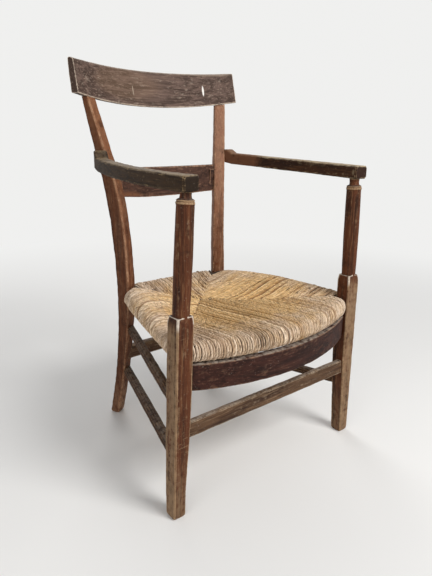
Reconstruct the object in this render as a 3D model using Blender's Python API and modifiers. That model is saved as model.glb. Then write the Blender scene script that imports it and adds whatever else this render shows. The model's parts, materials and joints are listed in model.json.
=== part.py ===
"""Low open armchair of worn wood with a sagging rush seat.

Metres, +Z up. A sitter faces -Y. The origin is at the bottom centre of the bounding box.
Pieces are shaped at the left, at negative X, with Y counted from the front of the front
feet. They are mirrored to the right, and one empty then moves the chair to its origin.
"""
import bpy
import bmesh
import numpy as np
from math import asin, atan2, cos, pi, radians, sin, sqrt
from mathutils import Matrix, Vector

COLLECTION = "rush_seat_armchair"
UP = Vector((0.0, 0.0, 1.0))
FLIP = Matrix.Scale(-1.0, 4, (1.0, 0.0, 0.0))

# Joints: play round a tenon, play at its end, its depth and the break of its edges
GAP = 0.0003
END_GAP = 0.0008
TENON_DEPTH = 0.011
TENON_BEVEL = 0.0006

# Wear: rubbed long edges, and feet worn narrower at the floor
EDGE_WEAR = 0.0022
FOOT_WEAR, FOOT_WEAR_HEIGHT = 0.0022, 0.005

# Front leg. Stations are height, width and depth. X and Y are of the outer front edge
LEG_STATIONS = ((0.0, 0.0285, 0.0300), (0.09, 0.0302, 0.0335), (0.20, 0.0362, 0.0355), (0.30, 0.0372, 0.0350),
                (0.4236, 0.0385, 0.0345))
LEG_HEIGHT = 0.4236
LEG_X_FOOT, LEG_X_TOP = -0.2750, -0.2638
LEG_Y_FOOT, LEG_Y_TOP = 0.0, -0.0020
LEG_SHOULDER, LEG_SHOULDER_WEAR = 0.0116, 0.0020

# Turned arm post on the leg: height above the block and radius, and how far its head leans
POST_PROFILE = ((-0.0180, 0.0120), (0.0, 0.0160), (0.0264, 0.0166), (0.1064, 0.0173), (0.1564, 0.0169),
                (0.1988, 0.0163), (0.2002, 0.0172), (0.2026, 0.0178), (0.2048, 0.0172), (0.2056, 0.0162),
                (0.2062, 0.0162), (0.2068, 0.0169), (0.2082, 0.0169), (0.2090, 0.0156), (0.2109, 0.0112),
                (0.2164, 0.0104), (0.2210, 0.0112), (0.2330, 0.0125))
POST_HEIGHT = 0.2040
POST_LEAN = (0.0101, -0.0013)
POST_TENON_R, POST_TENON_TOP = 0.0075, 0.2364

# Rear leg and stile. Stations are height, X and Y of the outer front edge, face width, depth
STILE_STATIONS = ((0.0, -0.1585, 0.4360, 0.0275, 0.0258), (0.10, -0.1572, 0.4080, 0.0305, 0.0250),
                  (0.20, -0.1555, 0.3860, 0.0312, 0.0268), (0.36, -0.1533, 0.3665, 0.0325, 0.0330),
                  (0.47, -0.1534, 0.3707, 0.0300, 0.0358), (0.565, -0.1587, 0.3778, 0.0285, 0.0365),
                  (0.63, -0.1663, 0.3872, 0.0290, 0.0352), (0.70, -0.1800, 0.4042, 0.0290, 0.0288),
                  (0.83, -0.2035, 0.4355, 0.0285, 0.0175))
STILE_TURN = radians(28.0)
STILE_LEVELS = 18

# Crest rail: a bent board that leans back, on top of the stiles
CREST_RADIUS, CREST_HALF = 0.4681, 0.2293
CREST_SET = 0.0029
CREST_LEAN = 0.2514
CREST_LOW, CREST_LOW_BOW = 0.8220, 0.0195
CREST_HIGH, CREST_HIGH_BOW = 0.8944, 0.0085
CREST_THICK_LOW, CREST_THICK_HIGH = 0.0180, 0.0140
CREST_TENON_Z, CREST_TENON_BACK = 0.8130, 0.0088
CREST_TENON_WIDTH, CREST_TENON_THICK, CREST_TENON_UP, CREST_TENON_DOWN = 0.0170, 0.0076, 0.0240, 0.0120

# Back rail: a bent board with hollow edges, tenoned into the stiles
RAIL_RADIUS = 0.2900
RAIL_SET = 0.0038
RAIL_LOW, RAIL_LOW_BOW = 0.5920, 0.0100
RAIL_HIGH, RAIL_HIGH_BOW = 0.6600, 0.0040
RAIL_LEAN = 0.1618
RAIL_THICK = 0.0155
RAIL_TENON_TURN, RAIL_TENON_BACK = radians(20.0), 0.0110
RAIL_TENON_THICK, RAIL_TENON_HEIGHT = 0.0080, 0.0460

# Arms: they bow outward, sag, and end in a raised ear behind the stile
ARM_FRONT_SET = (0.0010, -0.0175)
ARM_REAR_Z = 0.6800
ARM_REAR_SET = (-0.0125, 0.0142)
ARM_BOW = 0.0220
ARM_WIDTH_FRONT, ARM_WIDTH_REAR = 0.0355, 0.0290
ARM_TOP_FRONT = {"left": 0.6737, "right": 0.6762}
ARM_TOP_REAR = {"left": 0.6845, "right": 0.6920}
ARM_THICK, ARM_THIN_END = 0.0285, 0.0040
ARM_SAG = 0.0020
ARM_EDGE = 0.0028
EAR_TOP, EAR_START, EAR_END = 0.7000, 0.930, 0.962

# Seat: every height of the rush, its rails and the apron follows from this one
SEAT_Z = 0.3445
SEAT_RAIL_R = 0.0095
TUNNEL_R = 0.0116
SEAT_TENON = 0.0100
REAR_RAIL_Y = 0.3965

# Bowed apron board under the front of the seat
APRON_RADIUS, APRON_Y = 0.4840, -0.0500
APRON_LOW, APRON_HIGH = SEAT_Z - 0.0755, SEAT_Z - 0.0205
APRON_THICK = 0.0180
APRON_TENON_BACK, APRON_TENON_THICK, APRON_TENON_HEIGHT = 0.0165, 0.0080, 0.0340

# Stretchers
FRONT_BAR_Z, FRONT_BAR_BACK = 0.1878, 0.0125
FRONT_BAR_THICK, FRONT_BAR_HEIGHT = 0.0140, 0.0345
REAR_BAR_Z, REAR_BAR_BACK = 0.1900, 0.0125
REAR_BAR_THICK, REAR_BAR_HEIGHT = 0.0180, 0.0360
BAR_TENON_THICK, BAR_TENON_HEIGHT = 0.0090, 0.0250
LOW_ROD_FRONT, LOW_ROD_REAR, LOW_ROD_R = 0.1380, 0.1390, 0.0112
HIGH_ROD_FRONT, HIGH_ROD_REAR, HIGH_ROD_R = 0.2460, 0.2600, 0.0105
ROD_SWELL, ROD_TENON = 0.0008, 0.0110

# Rush rolls: half thickness and reach above and below the rail
FRONT_BOW, FRONT_SET_BACK = 0.5400, 0.0185
FRONT_ROLL_MID, FRONT_ROLL_END, FRONT_ROLL_TOP, FRONT_ROLL_LOW = 0.0180, 0.0148, 0.0212, 0.0183
SIDE_Z_FRONT, SIDE_Z_REAR = SEAT_Z + 0.0105, SEAT_Z + 0.0085
SIDE_ROLL_SPREAD = 0.25
# Side roll from its rear end: place along it, reach outward, up and down
SIDE_ROLL = ((0.0, 0.0285, 0.0215, 0.0175), (0.25, 0.0290, 0.0300, 0.0175), (0.5, 0.0275, 0.0315, 0.0165),
             (0.8, 0.0230, 0.0240, 0.0145), (1.0, 0.0190, 0.0165, 0.0136))
REAR_Z = SEAT_Z + 0.0055
REAR_ROLL, REAR_ROLL_TOP, REAR_ROLL_LOW = 0.0190, 0.0220, 0.0210
CORNER_GAP, FRONT_CORNER_BACK = 0.0017, 0.0064

# Woven faces: they sag from the seams' outer ends to the middle
SEAT_MIDDLE_Y = 0.2743
SEAM_TOP = {"front": SEAT_Z + 0.0220, "rear": SEAT_Z + 0.0255}
SEAM_LOW = {"front": SEAT_Z - 0.0180, "rear": SEAT_Z - 0.0135}
MIDDLE_TOP, MIDDLE_LOW = SEAT_Z - 0.0025, SEAT_Z - 0.0295
STRANDS = {"front": 18, "rear": 10}
RIDGE = 0.0013
ROLL_ANGLES = (90, 58, 30, 0, -32, -62, -90)
ROLL_SQUARENESS = 0.92

COLOURS = {"front_leg": (0.30, 0.19, 0.12), "rear_leg": (0.42, 0.24, 0.13), "crest_rail": (0.30, 0.24, 0.20),
           "back_rail": (0.28, 0.20, 0.17), "arm": (0.22, 0.19, 0.15), "front_apron": (0.24, 0.15, 0.12),
           "front_stretcher": (0.36, 0.28, 0.20), "rear_stretcher": (0.22, 0.16, 0.12),
           "side_stretcher": (0.33, 0.25, 0.18), "seat_rail": (0.45, 0.33, 0.22), "rush_seat": (0.62, 0.50, 0.34)}
ROUND_PIECES = ("front_leg", "side_stretcher", "seat_rail", "rush_seat")


def collection(name):
    group = bpy.data.collections.new(name)
    bpy.context.scene.collection.children.link(group)
    return group


def material(name, colour):
    mat = bpy.data.materials.new(name)
    mat.use_nodes = True
    shader = mat.node_tree.nodes["Principled BSDF"]
    shader.inputs["Base Color"].default_value = (*colour, 1.0)
    shader.inputs["Roughness"].default_value = 0.8
    mat.diffuse_color = (*colour, 1.0)
    return mat


def smooth_row(stations, at):
    """Row at a height between the stations, on a smooth curve through them."""
    keys = [row[0] for row in stations]
    rows = np.array([row[1:] for row in stations])
    slopes = np.gradient(rows, keys, axis=0)
    k = int(np.clip(np.searchsorted(keys, at) - 1, 0, len(keys) - 2))
    step = keys[k + 1] - keys[k]
    t = (at - keys[k]) / step
    near = (1 + 2 * t) * (1 - t) ** 2 * rows[k] + t * (1 - t) ** 2 * step * slopes[k]
    far = t * t * (3 - 2 * t) * rows[k + 1] + t * t * (t - 1) * step * slopes[k + 1]
    return near + far


def link(name, mesh, group):
    obj = bpy.data.objects.new(name, mesh)
    group.objects.link(obj)
    return obj


def apply(obj):
    """Replaces an object's mesh by the result of its modifiers."""
    graph = bpy.context.evaluated_depsgraph_get()
    mesh = bpy.data.meshes.new_from_object(obj.evaluated_get(graph))
    obj.modifiers.clear()
    old = obj.data
    obj.data = mesh
    bpy.data.meshes.remove(old)


def place(obj, start, end, up=UP):
    """Puts an object's origin at start, its Z towards end and its Y as near to up as it goes."""
    along = (Vector(end) - Vector(start)).normalized()
    across = Vector(up).cross(along).normalized()
    obj.location = start
    obj.rotation_euler = Matrix((across, along.cross(across), along)).transposed().to_euler()


def box(name, start, end, width, height, bevel, group, up=UP):
    """Bar with broken edges from start to end."""
    bm = bmesh.new()
    bmesh.ops.create_cube(bm, size=1.0)
    length = (Vector(end) - Vector(start)).length
    bmesh.ops.translate(bm, verts=bm.verts, vec=(0.0, 0.0, 0.5))
    bmesh.ops.scale(bm, verts=bm.verts, vec=(width, height, length))
    mesh = bpy.data.meshes.new(name)
    bm.to_mesh(mesh)
    bm.free()
    obj = link(name, mesh, group)
    place(obj, start, end, up)
    edges = obj.modifiers.new("edges", "BEVEL")
    edges.width = bevel
    edges.segments = 1
    apply(obj)
    return obj


def turned(name, profile, start, end, group, steps=20):
    """Round piece from a profile of distance from start and radius."""
    points = [(0.0, 0.0, profile[0][0])] + [(r, 0.0, h) for h, r in profile] + [(0.0, 0.0, profile[-1][0])]
    mesh = bpy.data.meshes.new(name)
    mesh.from_pydata(points, [(i, i + 1) for i in range(len(points) - 1)], [])
    obj = link(name, mesh, group)
    place(obj, start, end)
    turn = obj.modifiers.new("turn", "SCREW")
    turn.axis = "Z"
    turn.steps = steps
    turn.render_steps = steps
    turn.use_merge_vertices = True
    turn.merge_threshold = 0.00005
    apply(obj)
    close(obj.data)
    return obj


def bent_rod(name, points, radius, group):
    """Rod along a row of points, from a curve with a round section."""
    curve = bpy.data.curves.new(name, "CURVE")
    curve.dimensions = "3D"
    curve.twist_mode = "Z_UP"
    curve.bevel_depth = radius
    curve.bevel_resolution = 2
    curve.use_fill_caps = True
    line = curve.splines.new("POLY")
    line.points.add(len(points) - 1)
    for spot, p in zip(line.points, points):
        spot.co = (*p, 1.0)
    guide = link(name + "_curve", curve, group)
    graph = bpy.context.evaluated_depsgraph_get()
    mesh = bpy.data.meshes.new_from_object(guide.evaluated_get(graph))
    bpy.data.objects.remove(guide)
    close(mesh)
    return link(name, mesh, group)


def close(mesh):
    """Joins double points and turns all faces outward."""
    bm = bmesh.new()
    bm.from_mesh(mesh)
    bmesh.ops.remove_doubles(bm, verts=bm.verts, dist=1e-6)
    bmesh.ops.recalc_face_normals(bm, faces=bm.faces)
    bm.to_mesh(mesh)
    bm.free()


def surface(name, points, faces, group):
    mesh = bpy.data.meshes.new(name)
    mesh.from_pydata([tuple(float(c) for c in p) for p in points], [], faces)
    close(mesh)
    return link(name, mesh, group)


def loft(name, loops, group):
    """Closed solid through sections with equal numbers of points."""
    count = len(loops[0])
    points = [p for loop in loops for p in loop]
    faces = [list(range(count)), list(range(len(points) - count, len(points)))]
    for k in range(len(loops) - 1):
        for i in range(count):
            j = (i + 1) % count
            faces.append([k * count + i, k * count + j, (k + 1) * count + j, (k + 1) * count + i])
    return surface(name, points, faces, group)


def worn_rectangle(centre, u, v, half_u, half_v, wear):
    """Section of a square piece with its four edges rubbed off."""
    centre, u, v = (np.asarray(a, float) for a in (centre, u, v))
    loop = []
    for su, sv in ((1, 1), (-1, 1), (-1, -1), (1, -1)):
        side = centre + u * su * half_u + v * sv * (half_v - wear)
        end = centre + u * su * (half_u - wear) + v * sv * half_v
        loop += [side, end] if su * sv > 0 else [end, side]
    return loop


def boolean(target, tool, operation):
    cut = target.modifiers.new("cut", "BOOLEAN")
    cut.object = tool
    cut.operation = operation
    cut.solver = "EXACT"
    apply(target)


def clean(obj):
    """Removes leftover points on flat faces and straight edges, and joins doubles."""
    bm = bmesh.new()
    bm.from_mesh(obj.data)
    bmesh.ops.remove_doubles(bm, verts=bm.verts, dist=2e-6)
    bmesh.ops.dissolve_limit(bm, angle_limit=radians(0.2), verts=bm.verts, edges=bm.edges)
    bmesh.ops.triangulate(bm, faces=bm.faces)
    bmesh.ops.recalc_face_normals(bm, faces=bm.faces)
    bm.to_mesh(obj.data)
    bm.free()


def mirror_left_half(obj, middle):
    """Keeps the left half and mirrors it across the chair's middle."""
    mirror = obj.modifiers.new("mirror", "MIRROR")
    mirror.mirror_object = middle
    mirror.use_axis[0] = True
    mirror.use_bisect_axis[0] = True
    mirror.use_bisect_flip_axis[0] = True
    mirror.merge_threshold = 0.00005
    apply(obj)


def right_twin(obj, name, group):
    twin = link(name, obj.data.copy(), group)
    twin.data.transform(FLIP)
    twin.data.flip_normals()
    twin.matrix_basis = FLIP @ obj.matrix_basis @ FLIP
    return twin


def tenon_pair(name, start, end, width, height, cutters, up=UP):
    """A tenon that ends at end, and the larger solid that cuts its mortise."""
    tenon = box(name, start, end, width, height, TENON_BEVEL, cutters, up)
    deeper = Vector(end) + (Vector(end) - Vector(start)).normalized() * END_GAP
    socket = box(name + "_socket", start, deeper, width + 2 * GAP, height + 2 * GAP, TENON_BEVEL, cutters, up)
    return tenon, socket


def fit(member, leg, grown, pair):
    """Trims a member against a leg, gives it its tenon and cuts the mortise."""
    tenon, socket = pair
    boolean(member, grown, "DIFFERENCE")
    boolean(member, tenon, "UNION")
    boolean(leg, socket, "DIFFERENCE")


def leg_row(z):
    """X and Y of the front leg's outer front edge, and its width and depth."""
    width, depth = smooth_row(LEG_STATIONS, z)
    t = z / LEG_HEIGHT
    return LEG_X_FOOT + (LEG_X_TOP - LEG_X_FOOT) * t, LEG_Y_FOOT + (LEG_Y_TOP - LEG_Y_FOOT) * t, width, depth


def leg_inner_x(z):
    x, _, width, _ = leg_row(z)
    return x + width


def leg_square(name, group, grow=0.0):
    shoulder = LEG_HEIGHT - LEG_SHOULDER
    heights = [0.0] + list(np.linspace(FOOT_WEAR_HEIGHT, shoulder, 9)) + [LEG_HEIGHT]
    wears = [FOOT_WEAR] + [0.0] * 9 + [LEG_SHOULDER_WEAR]
    loops = []
    for z, wear in zip(heights, wears):
        x, y, width, depth = leg_row(z)
        half_x, half_y = width / 2 - wear + grow, depth / 2 - wear + grow
        loops.append(worn_rectangle((x + width / 2, y + depth / 2, z), (1, 0, 0), (0, 1, 0), half_x, half_y,
                                    EDGE_WEAR))
    return loft(name, loops, group)


def post_axis():
    x, y, width, depth = leg_row(LEG_HEIGHT)
    foot = Vector((x + width / 2, y + depth / 2, LEG_HEIGHT))
    return foot, foot + Vector((POST_LEAN[0], POST_LEAN[1], POST_HEIGHT))


def add_post(leg, grown_arm, cutters):
    """Turned post whose shoulder meets the underside of the arm."""
    foot, head = post_axis()
    post = turned(leg.name + "_post", POST_PROFILE, foot, head, cutters)
    boolean(post, grown_arm, "DIFFERENCE")
    tenon = ((POST_PROFILE[-3][0], POST_TENON_R), (POST_TENON_TOP, POST_TENON_R))
    boolean(post, turned(leg.name + "_tenon", tenon, foot, head, cutters), "UNION")
    boolean(leg, post, "UNION")


def stile_point(z, along, back):
    """Point of the stile's section: along its front face and back from it, in metres."""
    x, y, _, _ = smooth_row(STILE_STATIONS, z)
    face, side = stile_axes()
    return np.array((x, y, z)) + face * along + side * back


def stile_width(z):
    return smooth_row(STILE_STATIONS, z)[2]


def stile_axes():
    return np.array((cos(STILE_TURN), sin(STILE_TURN), 0.0)), np.array((-sin(STILE_TURN), cos(STILE_TURN), 0.0))


def stile_solid(name, group, grow=0.0, fitted=True):
    """Rear leg and stile. A fitted one ends under the crest rail."""
    face, side = stile_axes()
    top = STILE_STATIONS[-1][0]
    heights = [0.0] + list(np.linspace(FOOT_WEAR_HEIGHT, top, STILE_LEVELS))
    loops = []
    for z in heights:
        x, y, width, depth = smooth_row(STILE_STATIONS, z)
        wear = FOOT_WEAR if z == 0.0 else 0.0
        centre = np.array((x, y, z)) + face * width / 2 + side * depth / 2
        loops.append(worn_rectangle(centre, face, side, width / 2 - wear + grow, depth / 2 - wear + grow, EDGE_WEAR))
    if fitted:
        for p, q in zip(loops[-1], loops[-2]):
            share = (crest_low(p[0], p[1]) - GAP - q[2]) / (p[2] - q[2])
            p[:] = q + (p - q) * share
            p[2] = crest_low(p[0], p[1]) - GAP
    return loft(name, loops, group)


def crest_mid_y():
    """Y of the crest rail's front face in the middle, from where the stiles end."""
    _, x, y, _, _ = STILE_STATIONS[-1]
    return y - CREST_SET + CREST_RADIUS - sqrt(CREST_RADIUS ** 2 - x * x)


def crest_low(x, y):
    """Height of the crest rail's underside above a point of the plan."""
    phi = atan2(x, y - (crest_mid_y() - CREST_RADIUS))
    return CREST_LOW - CREST_LOW_BOW * (1 - (CREST_RADIUS * sin(phi) / CREST_HALF) ** 2)


def bent_board(name, radius, half, mid_y, section, group, lean=0.0, lean_from=0.0, hollow=1.0, count=18):
    """Board bent in plan. section gives offset to the back and height at a distance from the middle."""
    loops = []
    end = asin(half / radius)
    for phi in np.linspace(-end, end, count + 1):
        loop = []
        for offset, z in section(radius * sin(phi)):
            r = radius + offset * hollow
            y = mid_y + hollow * (r * cos(phi) - radius) + lean * (z - lean_from)
            loop.append(np.array((r * sin(phi), y, z)))
        loops.append(loop)
    return loft(name, loops, group)


def crest_section(x):
    fall = 1 - (x / CREST_HALF) ** 2
    low, high = CREST_LOW - CREST_LOW_BOW * fall, CREST_HIGH - CREST_HIGH_BOW * fall
    back = CREST_THICK_HIGH
    return ((0.0, low + 0.0015), (0.0, high - 0.0020), (0.0010, high), (0.0045, high + 0.0026),
            (0.0100, high + 0.0030), (back, high + 0.0006), (back + 0.0008, high - 0.0040),
            (CREST_THICK_LOW, low + 0.0020), (CREST_THICK_LOW - 0.0015, low), (0.0015, low))


def rail_end():
    """The back rail's height to place it by, and the stile's inner front edge there."""
    z = (RAIL_LOW + RAIL_HIGH) / 2
    return stile_point(z, stile_width(z), 0.0)


def rail_section(x):
    fall = 1 - (x / rail_end()[0]) ** 2
    low, high = RAIL_LOW - RAIL_LOW_BOW * fall, RAIL_HIGH - RAIL_HIGH_BOW * fall
    return ((0.0, low + 0.0015), (0.0, high - 0.0020), (0.0020, high), (RAIL_THICK - 0.002, high),
            (RAIL_THICK, high - 0.002), (RAIL_THICK, low + 0.002), (RAIL_THICK - 0.002, low), (0.0015, low))


def apron_section(x):
    back = APRON_THICK
    return ((0.0, APRON_LOW + 0.002), (0.0, APRON_HIGH - 0.0015), (0.0015, APRON_HIGH), (back - 0.0015, APRON_HIGH),
            (back, APRON_HIGH - 0.0015), (back, APRON_LOW + 0.002), (back - 0.002, APRON_LOW), (0.002, APRON_LOW))


def arm_point(t):
    _, head = post_axis()
    rear_x, rear_y, _, _ = smooth_row(STILE_STATIONS, ARM_REAR_Z)
    front = np.array((head.x + ARM_FRONT_SET[0], head.y + ARM_FRONT_SET[1], 0.0))
    rear = np.array((rear_x + ARM_REAR_SET[0], rear_y + ARM_REAR_SET[1], 0.0))
    return front + (rear - front) * t - np.array((ARM_BOW * 4 * t * (1 - t), 0.0, 0.0))


def arm_heights(t, side):
    """Top and underside of an arm at t from its front end."""
    top = ARM_TOP_FRONT[side] + (ARM_TOP_REAR[side] - ARM_TOP_FRONT[side]) * t - ARM_SAG * 4 * t * (1 - t)
    low = top - ARM_THICK + ARM_THIN_END * max(0.0, (t - EAR_START) / (1 - EAR_START))
    ear = min(1.0, max(0.0, (t - EAR_START) / (EAR_END - EAR_START)))
    return top + (EAR_TOP - top) * ear, low


def arm_solid(name, side, group, grow=0.0):
    up = np.array((0.0, 0.0, 1.0))
    loops = []
    for t in (0.0, 0.008, 0.06, 0.13, 0.22, 0.32, 0.43, 0.54, 0.65, 0.76, 0.86, EAR_START, EAR_END, 0.99, 1.0):
        ahead = arm_point(t + 1e-4) - arm_point(t - 1e-4)
        ahead /= np.linalg.norm(ahead)
        width = ARM_WIDTH_FRONT + (ARM_WIDTH_REAR - ARM_WIDTH_FRONT) * t
        top, low = arm_heights(t, side)
        half_u, half_v = width / 2 + grow, (top - low) / 2 + grow
        if t in (0.0, 1.0):
            half_u, half_v = half_u - EDGE_WEAR, half_v - EDGE_WEAR
        centre = arm_point(t) + up * (top + low) / 2
        loops.append(worn_rectangle(centre, (-ahead[1], ahead[0], 0.0), up, half_u, half_v, ARM_EDGE))
    return loft(name, loops, group)


def fit_arm(arm, grown_stile, cutters):
    """Notches an arm round the stile and bores it for the post's tenon."""
    boolean(arm, grown_stile, "DIFFERENCE")
    foot, head = post_axis()
    bore = ((POST_PROFILE[-4][0], POST_TENON_R + GAP), (POST_TENON_TOP + END_GAP, POST_TENON_R + GAP))
    boolean(arm, turned(arm.name + "_bore", bore, foot, head, cutters), "DIFFERENCE")


def front_members(parts, cutters, leg, grown, middle):
    x, y, width, _ = leg_row(FRONT_BAR_Z)
    start = Vector((x + width / 2, y + FRONT_BAR_BACK, FRONT_BAR_Z))
    inner = Vector((x + width, start.y, start.z))
    bar = box("front_stretcher", start, Vector((-start.x, start.y, start.z)), FRONT_BAR_THICK, FRONT_BAR_HEIGHT,
              EDGE_WEAR, parts)
    across = Vector((TENON_DEPTH, 0.0, 0.0))
    fit(bar, leg, grown, tenon_pair("bar_tenon", inner + 2 * across, inner - across, BAR_TENON_THICK,
                                    BAR_TENON_HEIGHT, cutters))
    apron_z = (APRON_LOW + APRON_HIGH) / 2
    x, y, width, _ = leg_row(apron_z)
    apron = bent_board("front_apron", APRON_RADIUS, TENON_DEPTH - x - width, APRON_Y, apron_section, parts,
                       hollow=-1.0, count=20)
    inner = Vector((x + width, y + APRON_TENON_BACK, apron_z))
    fit(apron, leg, grown, tenon_pair("apron_tenon", inner + across * 0.7, inner - across, APRON_TENON_THICK,
                                      APRON_TENON_HEIGHT, cutters))
    inner_x = leg_inner_x(SEAT_Z)
    rail_x = np.linspace(inner_x - TENON_DEPTH / 2, TENON_DEPTH / 2 - inner_x, 17)
    rail = bent_rod("seat_rail_front", [(x, front_rail_y(x), SEAT_Z) for x in rail_x], SEAT_RAIL_R, parts)
    inner = Vector((inner_x, front_rail_y(inner_x), SEAT_Z))
    fit(rail, leg, grown, tenon_pair("seat_tenon", inner + across * 0.3, inner - across, SEAT_TENON, SEAT_TENON,
                                     cutters))
    pieces = [bar, apron, rail]
    for piece in pieces:
        mirror_left_half(piece, middle)
    return pieces


def front_rail_y(x):
    return APRON_Y + FRONT_SET_BACK + FRONT_BOW - sqrt(FRONT_BOW ** 2 - x * x)


def rear_members(parts, cutters, stile, grown, middle):
    across = Vector((TENON_DEPTH, 0.0, 0.0))
    start = Vector(stile_point(REAR_BAR_Z, stile_width(REAR_BAR_Z) / 2, REAR_BAR_BACK))
    inner = Vector((stile_point(REAR_BAR_Z, stile_width(REAR_BAR_Z), REAR_BAR_BACK)[0], start.y, start.z))
    bar = box("rear_stretcher", start, Vector((-start.x, start.y, start.z)), REAR_BAR_THICK, REAR_BAR_HEIGHT,
              EDGE_WEAR, parts)
    fit(bar, stile, grown, tenon_pair("rear_bar_tenon", inner + 2 * across, inner - across, BAR_TENON_THICK,
                                      BAR_TENON_HEIGHT, cutters))
    inner = Vector((stile_point(REAR_Z, stile_width(REAR_Z), 0.0)[0], REAR_RAIL_Y, REAR_Z))
    inner.x -= (REAR_RAIL_Y - stile_point(REAR_Z, stile_width(REAR_Z), 0.0)[1]) * sin(STILE_TURN) / cos(STILE_TURN)
    start = inner - across / 2
    rod = ((0.0, SEAT_RAIL_R), (-2 * start.x, SEAT_RAIL_R))
    rail = turned("seat_rail_rear", rod, start, Vector((-start.x, start.y, start.z)), parts, 12)
    fit(rail, stile, grown, tenon_pair("rear_seat_tenon", inner + across, inner - across, SEAT_TENON, SEAT_TENON,
                                       cutters))
    end = rail_end()
    mid_y = end[1] + RAIL_SET + RAIL_RADIUS - sqrt(RAIL_RADIUS ** 2 - end[0] ** 2)
    back = bent_board("back_rail", RAIL_RADIUS, TENON_DEPTH / 2 - end[0], mid_y, rail_section, parts, RAIL_LEAN,
                      RAIL_LOW, count=14)
    inner = Vector(stile_point(end[2], stile_width(end[2]), RAIL_TENON_BACK))
    ahead = Vector((-cos(RAIL_TENON_TURN), -sin(RAIL_TENON_TURN), 0.0)) * TENON_DEPTH
    fit(back, stile, grown, tenon_pair("back_rail_tenon", inner - ahead, inner + ahead, RAIL_TENON_THICK,
                                       RAIL_TENON_HEIGHT, cutters))
    pieces = [bar, rail, back]
    for piece in pieces:
        mirror_left_half(piece, middle)
    return pieces


def side_ends(z_front, z_rear):
    """Middle of the front leg's rear face and of the rear leg's front face."""
    x, y, width, depth = leg_row(z_front)
    return np.array((x + width / 2, y + depth, z_front)), stile_point(z_rear, stile_width(z_rear) * 0.48, 0.0)


def side_member(name, ends, radius, swell, tenon, legs, grown, parts, cutters):
    """Rod from the front leg to the rear leg, with a square tenon at each end."""
    front, rear = (Vector(p) for p in ends)
    ahead = (rear - front).normalized() * TENON_DEPTH
    start, end = front - ahead / 2, rear + ahead * 0.7
    length = (end - start).length
    profile = [(length * t, radius + swell * sin(pi * t)) for t in (0.0, 0.25, 0.5, 0.75, 1.0)]
    rod = turned(name, profile if swell else (profile[0], profile[-1]), start, end, parts, 12)
    fit(rod, legs[0], grown[0], tenon_pair(name + "_front", front + 3 * ahead, front - ahead, tenon, tenon, cutters))
    fit(rod, legs[1], grown[1], tenon_pair(name + "_rear", rear - 3 * ahead, rear + ahead, tenon, tenon, cutters))
    return rod


def side_members(parts, cutters, legs, grown):
    low = side_ends(LOW_ROD_FRONT, LOW_ROD_REAR)
    high = side_ends(HIGH_ROD_FRONT, HIGH_ROD_REAR)
    seat = side_ends(SIDE_Z_FRONT, SIDE_Z_REAR)
    return [side_member("side_stretcher_lower_left", low, LOW_ROD_R, ROD_SWELL, ROD_TENON, legs, grown, parts, cutters),
            side_member("side_stretcher_upper_left", high, HIGH_ROD_R, ROD_SWELL, ROD_TENON, legs, grown, parts,
                        cutters),
            side_member("seat_rail_left", seat, SEAT_RAIL_R, 0.0, SEAT_TENON, legs, grown, parts, cutters)]


def crest_rail(parts, cutters, stile, middle):
    """Crest rail with a mortise over the tenon on top of each stile."""
    crest = bent_board("crest_rail", CREST_RADIUS, CREST_HALF, crest_mid_y(), crest_section, parts, CREST_LEAN,
                       CREST_LOW)
    base = Vector(stile_point(CREST_TENON_Z, stile_width(CREST_TENON_Z) / 2, CREST_TENON_BACK))
    up = Vector((0.0, CREST_LEAN, 1.0)).normalized()
    tenon, socket = tenon_pair("crest_tenon", base - up * CREST_TENON_DOWN, base + up * CREST_TENON_UP,
                               CREST_TENON_WIDTH, CREST_TENON_THICK, cutters, stile_axes()[1])
    boolean(stile, tenon, "UNION")
    boolean(crest, socket, "DIFFERENCE")
    mirror_left_half(crest, middle)
    return crest


def corner_of(end, hand):
    """Plan point where two sectors of the weave start: end is front or rear, hand -1 for left."""
    if end == "front":
        x, y, width, depth = leg_row(SEAT_Z)
        return np.array((-hand * (x + width + CORNER_GAP), y + depth + FRONT_CORNER_BACK))
    x, y, _ = stile_point(REAR_Z, stile_width(REAR_Z) + CORNER_GAP, -CORNER_GAP)
    return np.array((-hand * x, y))


# Each side of the weave runs between two corners, in this order round the seat
SIDES = {"front": (("front", -1), ("front", 1)), "right": (("front", 1), ("rear", 1)),
         "rear": (("rear", 1), ("rear", -1)), "left": (("rear", -1), ("front", -1))}


def seam_point(corner, k, top):
    """Point on the seam from a corner to the seat's middle, at the k-th strand."""
    end, hand = corner
    t = k / STRANDS[end]
    plan = corner_of(end, hand) * (1 - t) + np.array((0.0, SEAT_MIDDLE_Y)) * t
    start, middle = (SEAM_TOP[end], MIDDLE_TOP) if top else (SEAM_LOW[end], MIDDLE_LOW)
    return np.array((plan[0], plan[1], start + (middle - start) * sin(pi / 2 * t) ** 1.3))


def front_roll(s):
    """Rail centre, outward direction, thickness, reach up and down, and skew, at s along a side."""
    corner = corner_of("front", -1)
    x = corner[0] * (1 - 2 * s)
    thick = FRONT_ROLL_MID + (FRONT_ROLL_END - FRONT_ROLL_MID) * (x / corner[0]) ** 2
    skew = 1 / sqrt(1 - (x / FRONT_BOW) ** 2)
    centre = np.array((x, front_rail_y(x), SEAT_Z))
    return centre, np.array((0.0, -1.0, 0.0)), thick * skew, FRONT_ROLL_TOP, FRONT_ROLL_LOW, skew


def rear_roll(s):
    corner = corner_of("rear", -1)
    end_x = corner[0] - (REAR_RAIL_Y - corner[1]) * sin(STILE_TURN) / cos(STILE_TURN)
    lean = (1 - 2 * s) * sin(STILE_TURN)
    out = np.array((lean, sqrt(1 - lean * lean), 0.0))
    centre = np.array((-end_x * (1 - 2 * s), REAR_RAIL_Y, REAR_Z))
    return centre, out, REAR_ROLL, REAR_ROLL_TOP, REAR_ROLL_LOW, 1 / out[1]


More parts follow.
